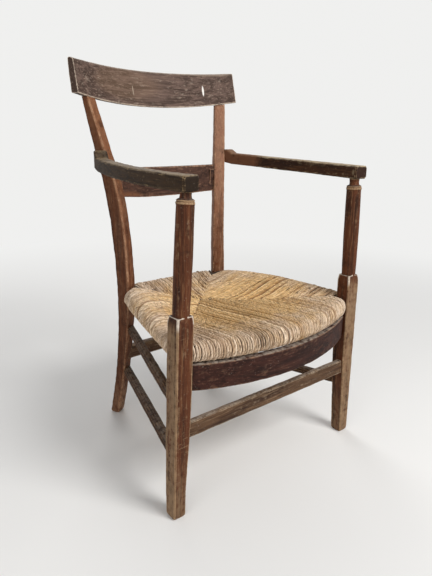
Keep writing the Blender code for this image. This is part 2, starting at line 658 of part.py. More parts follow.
def side_roll(t, hand):
    """Side roll at t from its rear end."""
    front, rear = side_ends(SIDE_Z_FRONT, SIDE_Z_REAR)
    run = rear - front
    start = front + run * ((corner_of("front", -1)[1] - 0.0020 - front[1]) / run[1])
    stop = rear - run * (0.0012 / run[1])
    centre = stop + (start - stop) * t
    blend = max(0.0, 1 - t * 2.2) ** 1.5
    tilt = -blend * STILE_TURN - 0.10 * max(0.0, t - 0.8) / 0.2
    out = np.array((-cos(tilt), sin(tilt), 0.0))
    skew = np.hypot(run[0], run[1]) / abs(out[0] * run[1] - out[1] * run[0])
    place_along, *reaches = zip(*SIDE_ROLL)
    thick, top, low = (float(np.interp(t, place_along, row)) for row in reaches)
    if hand > 0:
        centre[0], out[0] = -centre[0], -out[0]
    return centre, out, thick * (1 + SIDE_ROLL_SPREAD * blend), top, low, skew


def roll_at(side, s):
    if side == "front":
        return front_roll(s)
    if side == "rear":
        return rear_roll(s)
    return side_roll(s, -1) if side == "left" else side_roll(1 - s, 1)


def eased(u):
    return u * u * (3 - 2 * u)


def strand_line(side, i, total):
    """One line across the weave: seam, top, round the roll, underside, seam."""
    first, last = SIDES[side]
    corner, k = (first, i) if i <= STRANDS[first[0]] else (last, total - i)
    ridge = RIDGE if abs(i - round(i)) > 0.25 else 0.0
    centre, out, thick, top, low, _ = roll_at(side, i / total)
    high = seam_point(corner, k, True) + np.array((0, 0, ridge))
    deep = seam_point(corner, k, False) - np.array((0, 0, ridge))
    line = [high]
    for u in (0.28, 0.56, 0.80):
        p = high + (centre - high) * u
        p[2] = high[2] + (centre[2] + top + ridge - high[2]) * eased(u)
        line.append(p)
    for degrees in ROLL_ANGLES:
        c, s = cos(radians(degrees)), sin(radians(degrees))
        reach = (top if degrees > 0 else low) + ridge
        along = (thick + ridge) * abs(c) ** ROLL_SQUARENESS
        line.append(centre + out * along + np.array((0, 0, reach * np.sign(s) * abs(s) ** ROLL_SQUARENESS)))
    for u in (0.60, 0.30):
        p = deep + (centre - deep) * u
        p[2] = deep[2] + (centre[2] - low - ridge - deep[2]) * eased(u)
        line.append(p)
    return line + [deep]


def weave_side(side, points, faces):
    """Adds one sector of the weave with the tunnel that its rail runs through."""
    first, last = SIDES[side]
    total = STRANDS[first[0]] + STRANDS[last[0]]
    lines = [strand_line(side, j / 2, total) for j in range(2 * total + 1)]
    rows = len(lines[0])
    base = len(points)
    for line in lines:
        points.extend(line)
    for c in range(len(lines) - 1):
        for r in range(rows - 1):
            a = base + c * rows + r
            faces.append([a, a + 1, a + rows + 1, a + rows])
    rims = []
    for index in (0, len(lines) - 1):
        line = lines[index]
        corner_edge = [line[-1] + (line[0] - line[-1]) * t for t in (0.34, 0.67)]
        ids = [base + index * rows + r for r in range(rows)] + [len(points), len(points) + 1]
        points.extend(corner_edge)
        rims.append((ids, line + corner_edge))
    centre, out = roll_at(side, 0.0)[:2]
    angles = list(np.unwrap([np.arctan2((p - centre)[2], (p - centre) @ out) for p in rims[0][1]]))
    loops = []
    for s in np.linspace(0.0, 1.0, 17 if side == "front" else 5):
        loops.append([len(points) + i for i in range(len(angles))])
        centre, out, _, _, _, skew = roll_at(side, s)
        points.extend(centre + out * TUNNEL_R * skew * cos(a) + np.array((0, 0, TUNNEL_R * sin(a))) for a in angles)
    for one, other in [(rims[0][0], loops[0])] + list(zip(loops, loops[1:])) + [(loops[-1], rims[1][0])]:
        for i in range(len(angles)):
            j = (i + 1) % len(angles)
            faces.append([one[i], other[i], other[j], one[j]])


def rush_seat(parts):
    points, faces = [], []
    for side in SIDES:
        weave_side(side, points, faces)
    return surface("rush_seat", points, faces, parts)


def finish(pieces, middle):
    """Gives each piece its material and shading, and centres the chair on its origin."""
    depth = [(piece.matrix_basis @ v.co).y for piece in pieces for v in piece.data.vertices]
    for piece in pieces:
        colour = next(COLOURS[key] for key in COLOURS if piece.name.startswith(key))
        piece.data.materials.clear()
        piece.data.materials.append(material(piece.name, colour))
        if piece.name.startswith(ROUND_PIECES):
            piece.data.shade_smooth()
            piece.data.set_sharp_from_angle(angle=radians(35.0))
        piece.parent = middle
    middle.location.y = -(min(depth) + max(depth)) / 2


def build():
    for obj in list(bpy.data.objects):
        bpy.data.objects.remove(obj, do_unlink=True)
    parts, cutters = collection(COLLECTION), collection("cutters")
    middle = link("chair_middle", None, parts)
    leg, stile = leg_square("front_leg_left", parts), stile_solid("rear_leg_left", parts)
    grown_leg = leg_square("leg_grown", cutters, GAP)
    grown_stile = stile_solid("stile_grown", cutters, GAP, False)
    across = front_members(parts, cutters, leg, grown_leg, middle)
    across += rear_members(parts, cutters, stile, grown_stile, middle)
    along = side_members(parts, cutters, (leg, stile), (grown_leg, grown_stile))
    across.append(crest_rail(parts, cutters, stile, middle))
    other_leg = link("other_leg", leg.data.copy(), cutters)
    arms = []
    for side, post_leg, group in (("left", leg, parts), ("right", other_leg, cutters)):
        arm = arm_solid("arm_" + side, side, group)
        add_post(post_leg, arm_solid("arm_grown_" + side, side, cutters, GAP), cutters)
        fit_arm(arm, grown_stile, cutters)
        arms.append(arm)
    for piece in across + along + arms + [leg, other_leg, stile]:
        clean(piece)
    arms[1].name = "other_arm"
    rights = [right_twin(piece, piece.name.replace("_left", "_right"), parts) for piece in along + [stile]]
    rights += [right_twin(arms[1], "arm_right", parts), right_twin(other_leg, "front_leg_right", parts)]
    finish(across + along + [arms[0], leg, stile, rush_seat(parts)] + rights, middle)
    for tool in cutters.objects:
        tool.display_type = "WIRE"
        tool.hide_render = True
        tool.hide_set(True)


build()
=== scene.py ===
# Worn armchair with a sagging rush seat: old wood, woven strands, room and camera

import json
from math import cos, exp, pi, radians, sin

import bmesh
import bpy
import numpy as np
from mathutils import Matrix, Vector
from mathutils.bvhtree import BVHTree
from mathutils.kdtree import KDTree


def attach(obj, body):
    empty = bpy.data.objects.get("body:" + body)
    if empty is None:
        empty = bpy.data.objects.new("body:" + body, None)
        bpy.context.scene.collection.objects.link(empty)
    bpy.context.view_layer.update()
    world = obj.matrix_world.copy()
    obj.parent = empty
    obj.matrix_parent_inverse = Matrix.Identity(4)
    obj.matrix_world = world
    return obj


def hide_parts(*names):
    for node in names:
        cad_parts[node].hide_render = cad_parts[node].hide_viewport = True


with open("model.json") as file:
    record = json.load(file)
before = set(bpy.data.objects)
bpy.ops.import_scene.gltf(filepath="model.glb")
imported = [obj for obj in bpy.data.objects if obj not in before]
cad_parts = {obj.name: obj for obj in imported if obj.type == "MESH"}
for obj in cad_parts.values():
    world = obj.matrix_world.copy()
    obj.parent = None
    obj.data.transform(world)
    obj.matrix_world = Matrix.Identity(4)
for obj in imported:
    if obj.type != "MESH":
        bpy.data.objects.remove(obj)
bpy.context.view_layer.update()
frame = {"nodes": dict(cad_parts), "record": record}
scene = bpy.context.scene
scene.view_settings.view_transform = "Standard"
rng = np.random.default_rng(7)

# Room and camera

CAMERA_AT = (-0.7518, -0.9321, 0.7395)
CAMERA_TURN = (1.27986, -0.01318, -0.68254)
CAMERA_LENS = 32.153
WALL = (0.87, 0.87, 0.86)
FLOOR_COLOUR = (0.80, 0.79, 0.77)
FLOOR_HALF = 9.0
FLOOR_FADE = (0.7, 2.6)
SKY_COLOUR, SKY_STRENGTH = (0.97, 0.98, 1.0), 0.34
LAMP_TARGET = Vector((0.0, 0.0, 0.42))

# Name, place, width and power of each lamp
LAMPS = (("key_lamp", (0.5, -2.2, 2.2), 1.3, 66.0),
         ("fill_lamp", (-2.1, -1.1, 1.3), 1.8, 15.0),
         ("back_lamp", (0.9, 2.1, 2.0), 1.6, 24.0))


def new_piece(name, bm, material=None):
    """Object at the origin from a finished bmesh."""
    mesh = bpy.data.meshes.new(name)
    bm.to_mesh(mesh)
    bm.free()
    if material:
        mesh.materials.append(material)
    piece = bpy.data.objects.new(name, mesh)
    scene.collection.objects.link(piece)
    return piece


def new_material(name):
    """Material with its node tree and its Principled shader."""
    material = bpy.data.materials.new(name)
    material.use_nodes = True
    return material, material.node_tree, material.node_tree.nodes["Principled BSDF"]


def make_camera():
    data = bpy.data.cameras.new("photo_camera")
    data.sensor_fit = "VERTICAL"
    data.sensor_height = 36.0
    data.lens = CAMERA_LENS
    camera = bpy.data.objects.new("photo_camera", data)
    camera.location = CAMERA_AT
    camera.rotation_euler = CAMERA_TURN
    scene.collection.objects.link(camera)
    scene.camera = camera


def soft_lamp(name, at, size, power):
    data = bpy.data.lights.new(name, "AREA")
    data.shape = "DISK"
    data.size = size
    data.energy = power
    lamp = bpy.data.objects.new(name, data)
    lamp.location = at
    lamp.rotation_euler = (LAMP_TARGET - Vector(at)).to_track_quat("-Z", "Y").to_euler()
    scene.collection.objects.link(lamp)


def seen_directly(tree):
    """Mask that is 1 for what the camera, the reflections and clear materials see."""
    rays = node(tree, "ShaderNodeLightPath")
    straight = maths(tree, "MAXIMUM", rays.outputs["Is Camera Ray"], rays.outputs["Is Glossy Ray"])
    return maths(tree, "MAXIMUM", straight, rays.outputs["Is Transmission Ray"])


def make_floor():
    """Pale floor that fades into the wall far behind the chair."""
    bm = bmesh.new()
    bmesh.ops.create_grid(bm, x_segments=1, y_segments=1, size=FLOOR_HALF)
    pale, tree, shader = new_material("pale_floor")
    floor = new_piece("floor", bm, pale)
    shader.inputs["Base Color"].default_value = (*FLOOR_COLOUR, 1.0)
    shader.inputs["Roughness"].default_value = 0.9
    away = node(tree, "ShaderNodeVectorMath", operation="LENGTH")
    join(tree, node(tree, "ShaderNodeTexCoord").outputs["Object"], away.inputs[0])
    fade = product(tree, ramp(tree, away.outputs["Value"], *FLOOR_FADE), seen_directly(tree))
    wall = node(tree, "ShaderNodeEmission")
    wall.inputs["Color"].default_value = (*WALL, 1.0)
    both = node(tree, "ShaderNodeMixShader")
    join(tree, fade, both.inputs[0])
    join(tree, shader.outputs[0], both.inputs[1])
    join(tree, wall.outputs[0], both.inputs[2])
    join(tree, both.outputs[0], tree.nodes["Material Output"].inputs["Surface"])


def make_light():
    for name, at, size, power in LAMPS:
        soft_lamp(name, at, size, power)
    world = bpy.data.worlds.new("studio")
    scene.world = world
    world.use_nodes = True
    tree = world.node_tree
    sky = tree.nodes["Background"]
    sky.inputs["Color"].default_value = (*SKY_COLOUR, 1.0)
    sky.inputs["Strength"].default_value = SKY_STRENGTH
    wall = node(tree, "ShaderNodeBackground")
    wall.inputs["Color"].default_value = (*WALL, 1.0)
    either = node(tree, "ShaderNodeMixShader")
    join(tree, seen_directly(tree), either.inputs[0])
    join(tree, sky.outputs[0], either.inputs[1])
    join(tree, wall.outputs[0], either.inputs[2])
    join(tree, either.outputs[0], tree.nodes["World Output"].inputs["Surface"])


# Short names for the shader nodes that the materials are made of

def node(tree, kind, **settings):
    made = tree.nodes.new(kind)
    for name, value in settings.items():
        setattr(made, name, value)
    return made


def join(tree, source, target):
    tree.links.new(source, target)


def effect_group(name, inputs, outputs):
    """Node group with float masks out. Inputs are (name, kind, default)."""
    tree = bpy.data.node_groups.new(name, "ShaderNodeTree")
    for label, kind, value in inputs:
        socket = tree.interface.new_socket(name=label, in_out="INPUT", socket_type="NodeSocket" + kind)
        if value is not None:
            socket.default_value = value
    for label in outputs:
        tree.interface.new_socket(name=label, in_out="OUTPUT", socket_type="NodeSocketFloat")
    return tree, node(tree, "NodeGroupInput"), node(tree, "NodeGroupOutput")


def place_group(tree, group, position, **values):
    made = node(tree, "ShaderNodeGroup", node_tree=group)
    join(tree, position, made.inputs["Position"])
    for label, value in values.items():
        made.inputs[label].default_value = value
    return made.outputs


def maths(tree, operation, a, b=None, clamp=False):
    made = node(tree, "ShaderNodeMath", operation=operation, use_clamp=clamp)
    for socket, value in zip(made.inputs, (a, b)):
        if isinstance(value, (int, float)):
            socket.default_value = value
        elif value is not None:
            join(tree, value, socket)
    return made.outputs[0]


def product(tree, *factors):
    value = factors[0]
    for factor in factors[1:]:
        value = maths(tree, "MULTIPLY", value, factor)
    return value


def ramp(tree, value, low, high):
    """Smooth mask from 0 at low to 1 at high; low may be the larger."""
    made = node(tree, "ShaderNodeMapRange", interpolation_type="SMOOTHSTEP")
    made.inputs["From Min"].default_value = low
    made.inputs["From Max"].default_value = high
    join(tree, value, made.inputs["Value"])
    return made.outputs["Result"]


def mix(tree, factor, a, b):
    made = node(tree, "ShaderNodeMix", data_type="RGBA", clamp_factor=True)
    for socket, value in ((made.inputs[0], factor), (made.inputs[6], a), (made.inputs[7], b)):
        if isinstance(value, (int, float)):
            socket.default_value = value
        elif isinstance(value, tuple):
            socket.default_value = (*value, 1.0)
        else:
            join(tree, value, socket)
    return made.outputs[2]


def noise(tree, vector, scale, detail=4.0, roughness=0.55, distortion=0.0):
    made = node(tree, "ShaderNodeTexNoise")
    made.inputs["Scale"].default_value = scale
    made.inputs["Detail"].default_value = detail
    made.inputs["Roughness"].default_value = roughness
    made.inputs["Distortion"].default_value = distortion
    join(tree, vector, made.inputs["Vector"])
    return made.outputs["Fac"]


def mapped(tree, vector, scale=(1.0, 1.0, 1.0), turn=(0.0, 0.0, 0.0), shift=(0.0, 0.0, 0.0)):
    made = node(tree, "ShaderNodeMapping")
    made.inputs["Scale"].default_value = scale
    made.inputs["Rotation"].default_value = turn
    made.inputs["Location"].default_value = shift
    join(tree, vector, made.inputs["Vector"])
    return made.outputs["Vector"]


def relief(tree, shader, height, strength, distance):
    """Bump from a height, in metres, on the shader's Normal."""
    made = node(tree, "ShaderNodeBump")
    made.inputs["Strength"].default_value = strength
    made.inputs["Distance"].default_value = distance
    join(tree, height, made.inputs["Height"])
    join(tree, made.outputs["Normal"], shader.inputs["Normal"])


def spot(tree, position, at, reach):
    """Mask that is 1 inside an ellipsoid and 0 outside it."""
    offset = node(tree, "ShaderNodeVectorMath", operation="SUBTRACT")
    join(tree, position, offset.inputs[0])
    offset.inputs[1].default_value = at
    scaled = node(tree, "ShaderNodeVectorMath", operation="DIVIDE")
    join(tree, offset.outputs[0], scaled.inputs[0])
    scaled.inputs[1].default_value = reach
    length = node(tree, "ShaderNodeVectorMath", operation="LENGTH")
    join(tree, scaled.outputs[0], length.inputs[0])
    return ramp(tree, length.outputs["Value"], 1.0, 0.6)


# Effects that the materials share

def grain_effect():
    """Wood grain from coordinates that are stretched along the plank."""
    tree, given, out = effect_group("wood_grain", [("Position", "Vector", None)], ("Fibres", "Figure", "Pores"))
    vector = given.outputs["Position"]
    join(tree, noise(tree, vector, 300.0, 5.0, 0.65, 0.3), out.inputs["Fibres"])
    join(tree, noise(tree, vector, 60.0, 4.0, 0.6, 1.2), out.inputs["Figure"])
    join(tree, ramp(tree, noise(tree, vector, 520.0, 3.0, 0.6), 0.57, 0.70), out.inputs["Pores"])
    return tree


def wear_effect():
    """Rubbed edges: the mesh's edge attribute, broken up by coarse and fine noise."""
    tree, given, out = effect_group("edge_wear", [("Position", "Vector", None), ("Amount", "Float", 1.0)],
                                    ("Rubbed", "Arris"))
    edge = node(tree, "ShaderNodeAttribute", attribute_name="edge").outputs["Fac"]
    patch = noise(tree, given.outputs["Position"], 42.0, 4.0, 0.65)
    fine = noise(tree, given.outputs["Position"], 330.0, 4.0, 0.65)
    level = maths(tree, "ADD", product(tree, edge, given.outputs["Amount"]),
                  maths(tree, "ADD", product(tree, patch, 1.5), product(tree, fine, 0.9)))
    join(tree, ramp(tree, level, 1.75, 2.25), out.inputs["Rubbed"])
    arris = product(tree, ramp(tree, level, 2.05, 2.55), ramp(tree, edge, 0.45, 0.95))
    join(tree, arris, out.inputs["Arris"])
    return tree


def marks_effect():
    """Scratches, dark stains and pale specks scattered over a surface."""
    tree, given, out = effect_group("age_marks", [("Position", "Vector", None)], ("Scratches", "Stains", "Specks"))
    position = given.outputs["Position"]
    thin = noise(tree, mapped(tree, position, (22.0, 340.0, 300.0), (0.4, 0.7, 0.3)), 1.0, 2.0, 0.5)
    where = ramp(tree, noise(tree, position, 9.0, 3.0), 0.48, 0.60)
    join(tree, product(tree, ramp(tree, thin, 0.66, 0.71), where), out.inputs["Scratches"])
    join(tree, ramp(tree, noise(tree, position, 26.0, 5.0, 0.68), 0.54, 0.68), out.inputs["Stains"])
    cells = node(tree, "ShaderNodeTexVoronoi")
    cells.inputs["Scale"].default_value = 260.0
    join(tree, position, cells.inputs["Vector"])
    dots = ramp(tree, cells.outputs["Distance"], 0.24, 0.10)
    some = ramp(tree, noise(tree, position, 70.0, 2.0), 0.52, 0.62)
    join(tree, product(tree, dots, some), out.inputs["Specks"])
    return tree


GRAIN, WEAR, MARKS = grain_effect(), wear_effect(), marks_effect()
PALE_CORNER = (0.62, 0.54, 0.45)
SPECK = (0.50, 0.42, 0.34)
# Tint of settled dust on upward faces, also used as painted top light.
DUST_AND_TOP_LIGHT = (0.40, 0.34, 0.28)

# Grain runs along one axis: the stretch that draws it, and that axis
ACROSS = ((0.055, 1.0, 1.0), (1.0, 0.0, 0.0))
DEEP = ((1.0, 0.055, 1.0), (0.0, 1.0, 0.0))
UPRIGHT = ((1.0, 1.0, 0.055), (0.0, 0.0, 1.0))


def facing(tree, way, low, high, both=False):
    """Mask of the faces that point one way, or both ways along it."""
    dot = node(tree, "ShaderNodeVectorMath", operation="DOT_PRODUCT")
    join(tree, node(tree, "ShaderNodeNewGeometry").outputs["Normal"], dot.inputs[0])
    dot.inputs[1].default_value = way
    value = dot.outputs["Value"]
    return ramp(tree, maths(tree, "ABSOLUTE", value) if both else value, low, high)


def worn_wood(name, dark, mid, light, rubbed, grain, wear=1.0, dust_and_top_light=0.2, stain=0.5, streaks=0.5, specks=0.25,
              bare_way=None, bare=0.0, bare_below=None, pale_corners=None, foot=0.0, high=None,
              painted_shade_way=None, painted_shade_strength=0.45, marks=()):
    """Old wood under worn varnish: grain, streaks, rubbed edges, stains, scratches, dust on upward faces that is
    partly painted top light, dark end grain, painted light towards the top and painted shade on one side.

    bare_way is the way that the barest faces look, and bare_below the height under which they are bare.
    pale_corners is a height at which the corners are rubbed pale, and foot how bare the lowest part is.
    high gives the heights between which the wood is painted paler, as painted light from above. painted_shade_way is
    the way of the faces that get painted shade, and dim how dark that painted shade is. Each mark is a place, its
    reach, a tint and a strength."""
    mat, tree, shader = new_material(name)
    position = node(tree, "ShaderNodeTexCoord").outputs["Object"]
    stretch, axis = grain
    wood = place_group(tree, GRAIN, mapped(tree, position, stretch))
    worn = place_group(tree, WEAR, position, Amount=wear)
    aged = place_group(tree, MARKS, position)
    colour = mix(tree, ramp(tree, wood["Figure"], 0.36, 0.62), dark, mid)
    colour = mix(tree, ramp(tree, wood["Fibres"], 0.50, 0.70), colour, light)
    apart = node(tree, "ShaderNodeSeparateXYZ")
    join(tree, position, apart.inputs[0])
    height = apart.outputs["Z"]
    # Painted light from above: the wood is painted paler between the heights in high.
    if high:
        colour = mix(tree, product(tree, ramp(tree, height, *high), 0.55), colour, light)
    streaky = noise(tree, mapped(tree, position, tuple(3.2 * s for s in stretch)), 40.0, 4.0, 0.7)
    flaked = noise(tree, position, 90.0, 5.0, 0.7)
    lost = ramp(tree, maths(tree, "ADD", streaky, product(tree, flaked, 0.8)), 0.98, 1.16)
    colour = mix(tree, product(tree, lost, streaks), colour, rubbed)
    broken = ramp(tree, maths(tree, "ADD", streaky, flaked), 0.75, 1.10)
    if bare_way:
        level = product(tree, facing(tree, bare_way, 0.55, 0.85), broken, bare)
        if bare_below:
            level = product(tree, level, ramp(tree, height, bare_below, bare_below - 0.03))
        colour = mix(tree, level, colour, rubbed)
    if foot:
        colour = mix(tree, product(tree, ramp(tree, height, 0.16, 0.02), broken, foot), colour, rubbed)
    colour = mix(tree, product(tree, wood["Pores"], 0.65), colour, tuple(c * 0.40 for c in dark))
    colour = mix(tree, product(tree, aged["Stains"], stain), colour, tuple(c * 0.55 for c in dark))
    ends = product(tree, facing(tree, axis, 0.70, 0.88, both=True), 0.85)
    colour = mix(tree, ends, colour, dark)
    colour = mix(tree, product(tree, worn["Rubbed"], 0.80), colour, rubbed)
    colour = mix(tree, product(tree, worn["Arris"], 0.55), colour, tuple(1.6 * c for c in rubbed))
    colour = mix(tree, product(tree, aged["Scratches"], 0.50), colour, rubbed)
    colour = mix(tree, product(tree, aged["Specks"], specks), colour, SPECK)
    # Settled dust on upward faces. Where the dust setting is raised, as on the crest, it is also painted top light
    # that pales the top edge.
    dust_and_top_light_mask = product(tree, facing(tree, (0.0, 0.0, 1.0), 0.45, 0.95), ramp(tree, flaked, 0.35, 0.62), dust_and_top_light)
    colour = mix(tree, dust_and_top_light_mask, colour, DUST_AND_TOP_LIGHT)
    if pale_corners:
        off = maths(tree, "ABSOLUTE", maths(tree, "SUBTRACT", height, pale_corners))
        edge = node(tree, "ShaderNodeAttribute", attribute_name="edge").outputs["Fac"]
        chipped = product(tree, ramp(tree, off, 0.022, 0.008), ramp(tree, edge, 0.35, 0.80),
                          ramp(tree, flaked, 0.34, 0.44))
        colour = mix(tree, product(tree, chipped, 0.85), colour, PALE_CORNER)
    for at, reach, tint, strength in marks:
        mask = product(tree, spot(tree, position, at, reach), ramp(tree, flaked, 0.30, 0.42), strength)
        colour = mix(tree, mask, colour, tint)
    # Painted shade: faces that look along painted_shade_way are darkened towards the dark grain tone.
    if painted_shade_way:
        colour = mix(tree, product(tree, facing(tree, painted_shade_way, 0.55, 0.85), painted_shade_strength), colour, dark)
    join(tree, colour, shader.inputs["Base Color"])
    rough = maths(tree, "ADD", product(tree, wood["Fibres"], 0.25), 0.54)
    join(tree, maths(tree, "ADD", rough, product(tree, dust_and_top_light_mask, 0.3), clamp=True), shader.inputs["Roughness"])
    shader.inputs["Specular IOR Level"].default_value = 0.16
    height = maths(tree, "SUBTRACT", product(tree, wood["Fibres"], 0.7), product(tree, wood["Pores"], 0.6))
    height = maths(tree, "SUBTRACT", height, product(tree, aged["Scratches"], 0.6))
    relief(tree, shader, height, 0.5, 0.0009)
    return mat


# Each wood: dark, middle and light grain, the rubbed tint, and the grain's way where it is always the same
POST = ((0.026, 0.008, 0.003), (0.094, 0.028, 0.010), (0.165, 0.074, 0.032), (0.27, 0.172, 0.095), UPRIGHT)
STILE = ((0.045, 0.012, 0.004), (0.128, 0.037, 0.012), (0.240, 0.092, 0.037), (0.37, 0.210, 0.120), UPRIGHT)
BOARD = ((0.050, 0.029, 0.021), (0.122, 0.077, 0.060), (0.220, 0.150, 0.115), (0.46, 0.37, 0.29))
ARM = ((0.013, 0.006, 0.002), (0.034, 0.018, 0.008), (0.074, 0.043, 0.021), (0.27, 0.185, 0.095), DEEP)
TAN = ((0.040, 0.018, 0.009), (0.105, 0.055, 0.028), (0.195, 0.120, 0.068), (0.36, 0.265, 0.175))
PURPLE = ((0.018, 0.006, 0.004), (0.048, 0.017, 0.011), (0.092, 0.041, 0.027), (0.27, 0.165, 0.100))
CHIP = (0.84, 0.80, 0.74)
SCRATCH = (0.36, 0.29, 0.22)
RED_BROWN = (0.150, 0.062, 0.030)
ARM_CORNER = (0.46, 0.36, 0.22)
BLOCK_TOP = 0.418


def darker(tints, share):
    return tuple(tuple(c * s for c, s in zip(tint, share)) for tint in tints)


WOODS = {
    "front_leg_left": worn_wood("post_wood_left", *POST, streaks=0.45, bare_way=(-1.0, 0.0, 0.0), bare=0.75,
                                bare_below=0.42, pale_corners=BLOCK_TOP, foot=0.5, wear=1.35),
    "front_leg_right": worn_wood("post_wood_right", *POST, streaks=0.35, bare_way=(0.0, -1.0, 0.0), bare=0.80,
                                 bare_below=0.42, pale_corners=BLOCK_TOP, foot=0.4, wear=1.3),
    # Left stile: painted shade on its outer face, and painted paler towards the top as painted light from above.
    "rear_leg_left": worn_wood("stile_wood_left", *STILE, streaks=0.35, stain=0.6, high=(0.45, 0.80), wear=0.95,
                               painted_shade_way=(-0.97, 0.25, 0.0), painted_shade_strength=0.65, bare_way=(-0.29, -0.94, 0.1), bare=0.35,
                               foot=0.7),
    # Right stile: painted paler towards the top, as painted light from above.
    "rear_leg_right": worn_wood("stile_wood_right", *STILE[:2], (0.330, 0.165, 0.100), *STILE[3:], streaks=0.50,
                                stain=0.3, high=(0.40, 0.66), bare_way=(0.29, -0.94, 0.1), bare=0.45),
    # Crest: its raised dust setting also paints the upward top edge paler, as painted top light.
    "crest_rail": worn_wood("crest_wood", *BOARD, ACROSS, streaks=0.35, stain=0.35, wear=1.35, dust_and_top_light=0.7,
                            marks=(((0.1480, 0.2325, 0.8490), (0.0030, 0.006, 0.0200), CHIP, 1.0),
                                   ((-0.080, 0.25, 0.855), (0.130, 0.05, 0.046), (0.24, 0.145, 0.085), 0.24),
                                   # A pale band along the crest's top edge: a painted highlight.
                                   ((0.060, 0.25, 0.8930), (0.300, 0.06, 0.008), (0.33, 0.25, 0.19), 0.55),
                                   ((-0.0560, 0.2508, 0.8400), (0.0014, 0.008, 0.0160), SCRATCH, 1.0))),
    # Back rail: a darker, redder copy of the crest's wood. The redder tone is its own, and the darkening is painted
    # shade.
    "back_rail": worn_wood("back_rail_partly_shaded_wood", *darker(BOARD[:3], (0.56, 0.40, 0.33)), (0.30, 0.165, 0.10), ACROSS,
                           streaks=0.45, wear=1.2,
                           marks=(((-0.110, 0.17, 0.585), (0.080, 0.05, 0.022), RED_BROWN, 1.0),)),
    "arm_left": worn_wood("arm_wood_left", *ARM, streaks=0.20, dust_and_top_light=0.20, stain=0.3, wear=0.75,
                          bare_way=(0.0, 0.0, 1.0), bare=0.60),
    "arm_right": worn_wood("arm_wood_right", *darker(TAN[:3], (0.48, 0.34, 0.24)), (0.42, 0.32, 0.19), DEEP,
                           streaks=0.25, dust_and_top_light=0.35, stain=0.5, wear=0.85, bare_way=(0.0, 0.0, 1.0), bare=0.95,
                           marks=(((0.2190, -0.2240, 0.6620), (0.0030, 0.0075, 0.016), ARM_CORNER, 0.75),
                                  ((0.190, 0.130, 0.68), (0.080, 0.080, 0.060), RED_BROWN, 0.8))),
    "apron_wood": worn_wood("apron_wood_purple", *darker(PURPLE, (0.80, 0.72, 0.70)), ACROSS, streaks=0.30,
                            dust_and_top_light=0.7, stain=0.4, specks=0.3),
    "stretcher_wood": worn_wood("front_stretcher_wood", *TAN, ACROSS, streaks=0.45, dust_and_top_light=0.5, stain=0.5, specks=0.4),
    # Side stretchers: a darker copy of the front stretcher's wood, as painted shade.
    "side_stretcher": worn_wood("side_stretcher_shaded_wood", *darker(TAN, (0.46, 0.36, 0.28)), DEEP, streaks=0.30,
                                dust_and_top_light=0.25, stain=0.5),
    "hidden_wood": worn_wood("bare_wood", (0.16, 0.10, 0.06), (0.28, 0.19, 0.12), (0.38, 0.28, 0.19),
                             (0.45, 0.36, 0.28), ACROSS, streaks=0.1),
}
SLOTS = {row["node"]: row["material_slot"] for row in frame["record"]["subparts"]}

# Worn copies of the wooden nodes

FINE = 0.0045
EDGE_ANGLE = radians(24)
EDGE_REACH = 0.0030
EDGE_LOSS = 0.0007
WAVE = 0.00025
SMOOTH_ROUNDS = 3


def ripple(points, scale, seed):
    """Smooth unevenness from crossed waves, about -1 to 1."""
    turn = np.random.default_rng(seed)
    value = np.zeros(len(points))
    for octave in range(4):
        direction = turn.normal(size=(3, 3))
        direction /= np.linalg.norm(direction, axis=1)[:, None]
        waves = np.sin(points @ direction.T * scale * 1.7 ** octave + turn.uniform(0, 2 * pi, 3))
        value += waves.prod(axis=1) * 0.8 / 1.5 ** octave
    return value


def sharp_edge_tree(bm):
    """Points 1 mm apart along the mesh's outer corners."""
    points = []
    for edge in bm.edges:
        if len(edge.link_faces) == 2 and edge.calc_face_angle_signed() > EDGE_ANGLE:
            a, b = (v.co.copy() for v in edge.verts)
            steps = int((b - a).length / 0.001) + 1
            points.extend(a.lerp(b, k / steps) for k in range(steps + 1))
    tree = KDTree(len(points))
    for index, point in enumerate(points):
        tree.insert(point, index)
    tree.balance()
    return tree


def worn_copy(name, source, seed):
    """Fine copy of a wooden CAD node: rounder curves, uneven faces, and edges that lost a little wood."""
    bm = bmesh.new()
    bm.from_mesh(source.data)
    bmesh.ops.remove_doubles(bm, verts=bm.verts, dist=1e-6)
    bmesh.ops.recalc_face_normals(bm, faces=bm.faces)
    edges = sharp_edge_tree(bm)
    for _ in range(9):
        long_edges = [e for e in bm.edges if e.calc_length() > FINE]
        if not long_edges:
            break
        bmesh.ops.subdivide_edges(bm, edges=long_edges, cuts=1)
        bmesh.ops.triangulate(bm, faces=[f for f in bm.faces if len(f.verts) > 3])
    gentle = [v for v in bm.verts if all(e.calc_face_angle(0.0) < EDGE_ANGLE for e in v.link_edges)]
    for _ in range(SMOOTH_ROUNDS):
        bmesh.ops.smooth_vert(bm, verts=gentle, factor=0.5, use_axis_x=True, use_axis_y=True, use_axis_z=True)
    bm.normal_update()
    points = np.array([v.co[:] for v in bm.verts])
    near = np.array([edges.find(v.co)[2] for v in bm.verts])
    edge = np.clip(1.0 - near / EDGE_REACH, 0.0, 1.0)
    loss = edge * EDGE_LOSS * np.clip(0.35 + 1.1 * ripple(points, 95.0, seed), 0.0, 1.3)
    push = WAVE * ripple(points, 60.0, seed + 1) - loss
    layer = bm.verts.layers.float.new("edge")
    for vert, value, amount in zip(bm.verts, edge, push):
        vert[layer] = value
        vert.co += vert.normal * amount
    piece = new_piece(name, bm)
    piece.data.shade_smooth()
    piece.data.set_sharp_from_angle(angle=EDGE_ANGLE)
    return piece


def wood_of(name, slot):
    """The finish of one node: its own, that of the side stretchers, or its slot's."""
    family = "side_stretcher" if name.startswith("side_stretcher") else slot
    return WOODS[name if name in WOODS else family]


